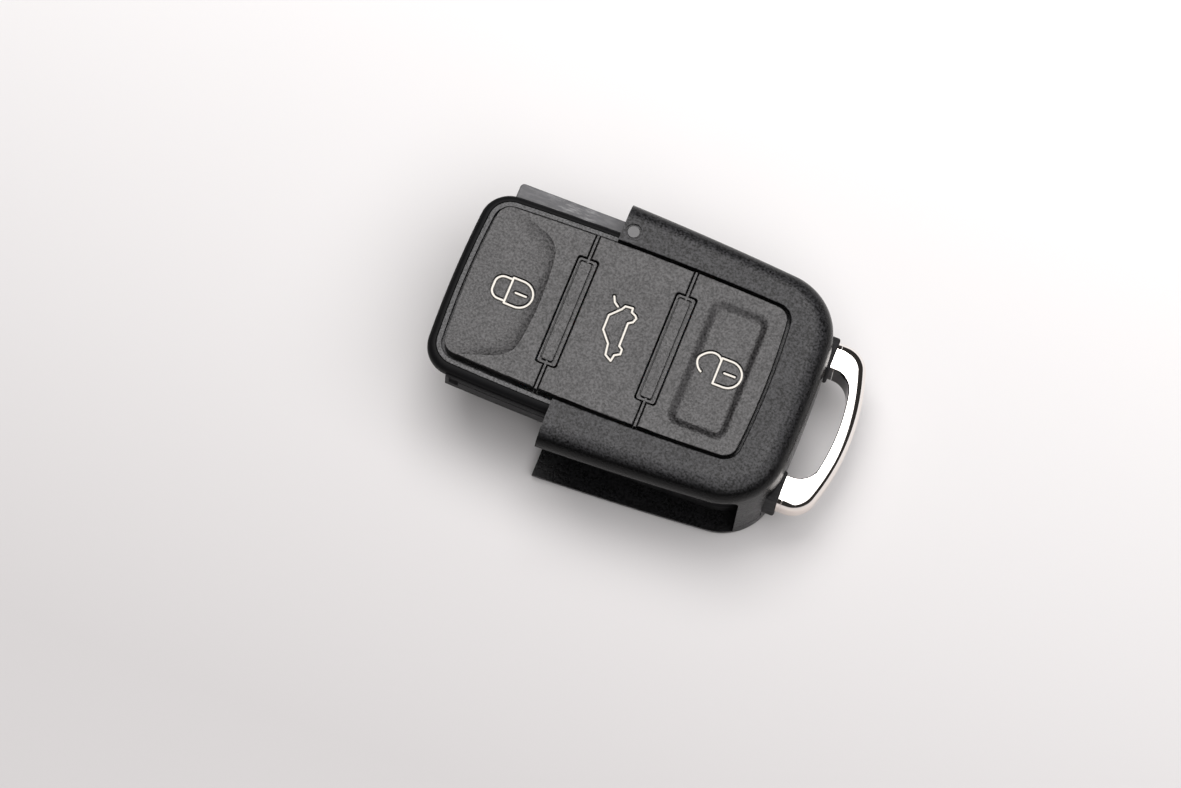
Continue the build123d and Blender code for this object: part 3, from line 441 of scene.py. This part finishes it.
def cell_metal(name):
    """Spun steel of the coin cell, with rings about its middle."""
    material, tree, shader = new_material(name)
    place = object_place(tree)
    shift = {0: place, 1: (CELL_X, 0.0, 0.0)}
    centred = add_node(tree, "ShaderNodeVectorMath", shift, operation="SUBTRACT").outputs[0]
    wave = {"Vector": centred, **RING_WAVE}
    rings = add_node(tree, "ShaderNodeTexWave", wave, wave_type="RINGS", rings_direction="Z").outputs["Fac"]
    stain = noise(tree, place, STAIN_NOISE)
    feed(tree, shader, {
        "Base Color": blend_colour(tree, stain, tinted(CELL_COLOUR, STAIN_SHADE), CELL_COLOUR),
        "Metallic": 1.0,
        "Roughness": spread(tree, rings, UNIT, CELL_ROUGHNESS),
        "Normal": bump(tree, rings, RING_BUMP),
    })
    return material


def board_material(name):
    """Green lacquer over copper tracks and a glass weave."""
    material, tree, shader = new_material(name)
    place = object_place(tree)
    tracks = add_node(tree, "ShaderNodeTexBrick", {"Vector": place, **TRACK_GRID}).outputs["Fac"]
    weave = noise(tree, stretched(tree, place, WEAVE_STRETCH), WEAVE_NOISE)
    lacquer = blend_colour(tree, weave, tinted(BOARD_COLOUR, WEAVE_DARK), tinted(BOARD_COLOUR, WEAVE_PALE))
    feed(tree, shader, {
        "Base Color": blend_colour(tree, tracks, lacquer, TRACE_COLOUR),
        "Roughness": BOARD_ROUGHNESS,
        "Normal": bump(tree, tracks, TRACK_BUMP),
    })
    return material


def chip_material(name, colour):
    """Small chips in a row, with tinned ends."""
    material, tree, shader = new_material(name)
    place = object_place(tree)
    along = calculate(tree, "SUBTRACT", axis_value(tree, place, "X"), FIRST_CHIP_X)
    from_middle = calculate(tree, "PINGPONG", along, CHIP_HALF_PITCH)
    end = spread(tree, from_middle, around(CHIP_BODY_HALF, CHIP_EDGE))
    solder = noise(tree, place, SOLDER_NOISE)
    feed(tree, shader, {
        "Base Color": blend_colour(tree, end, shaded(tree, place, colour, CHIP_SPECKS), TIN_COLOUR),
        "Metallic": end,
        "Roughness": spread(tree, solder, NOISE_SPAN, SOLDER_ROUGHNESS),
        "Normal": bump(tree, solder, SOLDER_BUMP),
    })
    return material


def soft_material(name, colour, roughness, depth, specks=0.1, through=0.0):
    """Moulded piece with a faint skin: rubber, resin, lens or paint."""
    material, tree, shader = new_material(name)
    place = object_place(tree)
    skin = noise(tree, place, SKIN_NOISE)
    feed(tree, shader, {
        "Base Color": shaded(tree, place, colour, specks),
        "Roughness": spread(tree, skin, NOISE_SPAN, around(roughness, SKIN_SWING)),
        "Normal": bump(tree, skin, (depth, SKIN_STRENGTH)),
        "Subsurface Weight": through,
        "Subsurface Scale": LIGHT_DEPTH,
    })
    return material


def floor_material():
    """Matte table top with a faint tooth and painted shade that greys it from the far side towards the near
    side.
    """
    material, tree, shader = new_material("table_top")
    place = object_place(tree)
    # Painted shade across the table, from the far side to the near side
    distance = spread(tree, axis_value(tree, place, "Y"), (-FLOOR_BAND, FLOOR_BAND))
    tooth = noise(tree, place, TOOTH_NOISE)
    feed(tree, shader, {
        "Base Color": blend_colour(tree, distance, FLOOR_NEAR, FLOOR_FAR),
        "Roughness": spread(tree, tooth, NOISE_SPAN, FLOOR_ROUGHNESS),
        "Specular IOR Level": FLOOR_SPECULAR,
        "Normal": bump(tree, tooth, TOOTH_BUMP),
    })
    return material


def add_floor():
    """Table top under the object."""
    bpy.ops.mesh.primitive_plane_add(size=2 * FLOOR_HALF, location=(0, 0, 0))
    floor = bpy.context.object
    floor.name = "table_top"
    floor.data.materials.append(floor_material())


def add_camera():
    """Camera at the photograph's place."""
    data = bpy.data.cameras.new("camera")
    data.lens = CAMERA_LENS
    data.sensor_width = SENSOR_WIDTH
    data.clip_start = CLIP_START
    camera = bpy.data.objects.new("camera", data)
    bpy.context.scene.collection.objects.link(camera)
    turn = Matrix((CAMERA_RIGHT, CAMERA_UP, CAMERA_BACK)).transposed().to_4x4()
    camera.matrix_world = Matrix.Translation(CAMERA_PLACE) @ turn
    bpy.context.scene.camera = camera


def add_softbox(name, place, size, power, colour):
    """Rectangular soft light that faces the origin."""
    data = bpy.data.lights.new(name, "AREA")
    data.shape = "RECTANGLE"
    data.size, data.size_y = size
    data.energy = power
    data.color = colour
    light = bpy.data.objects.new(name, data)
    bpy.context.scene.collection.objects.link(light)
    light.location = place
    light.rotation_euler = Vector(place).to_track_quat("Z", "Y").to_euler()


def add_world():
    """Dim room round the two soft lights."""
    world = bpy.data.worlds.new("room")
    world.use_nodes = True
    background = world.node_tree.nodes["Background"]
    background.inputs["Color"].default_value = (*WORLD_COLOUR, 1.0)
    background.inputs["Strength"].default_value = WORLD_STRENGTH
    bpy.context.scene.world = world


def paint_all():
    """Gives each CAD node the material of its slot in the record."""
    looks = {
        "grained_black": (plastic, COVER_PLASTIC),
        "button_black": (plastic, BUTTON_PLASTIC),
        "satin_black": (housing_plastic, {}),
        "symbol_cream": (soft_material, SYMBOL_PAINT),
        "clear_lens": (soft_material, LENS_RESIN),
        "bright_chrome": (chrome, {}),
        "silicone": (soft_material, SOFT_RUBBER),
        "board_green": (board_material, {}),
        "chip_black": (soft_material, CHIP_EPOXY),
        "can_metal": (drawn_metal, CAN_SHEET),
        "ceramic_tan": (chip_material, {"colour": CAPACITOR_COLOUR}),
        "resistor_black": (chip_material, {"colour": RESISTOR_COLOUR}),
        "copper": (drawn_metal, COPPER_SHEET),
        "lamp_amber": (soft_material, LAMP_RESIN),
        "cell_steel": (cell_metal, {}),
        "contact_steel": (drawn_metal, CONTACT_SHEET),
        "plunger_white": (soft_material, PLUNGER_RESIN),
    }
    materials = {slot: make(slot, **settings) for slot, (make, settings) in looks.items()}
    for part in frame["record"]["subparts"]:
        nodes[part["node"]].material_slots[0].material = materials[part["material_slot"]]


def add_dome(button):
    """Silicone dome copied from its CAD node and fixed to the shell; the CAD dome is hidden."""
    source = nodes[f"{button}_dome"]
    dome = bpy.data.objects.new(f"{button}_dome_skin", source.data.copy())
    bpy.context.scene.collection.objects.link(dome)
    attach(dome, "shell")
    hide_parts(source.name)
    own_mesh(dome)


add_world()
add_floor()
add_camera()
add_softbox("key", KEY_PLACE, KEY_SIZE, KEY_POWER, KEY_COLOUR)
add_softbox("fill", FILL_PLACE, FILL_SIZE, FILL_POWER, FILL_COLOUR)
paint_all()
for name in ("lock", "boot", "unlock"):
    add_dome(name)
bpy.context.scene.view_settings.view_transform = "Standard"
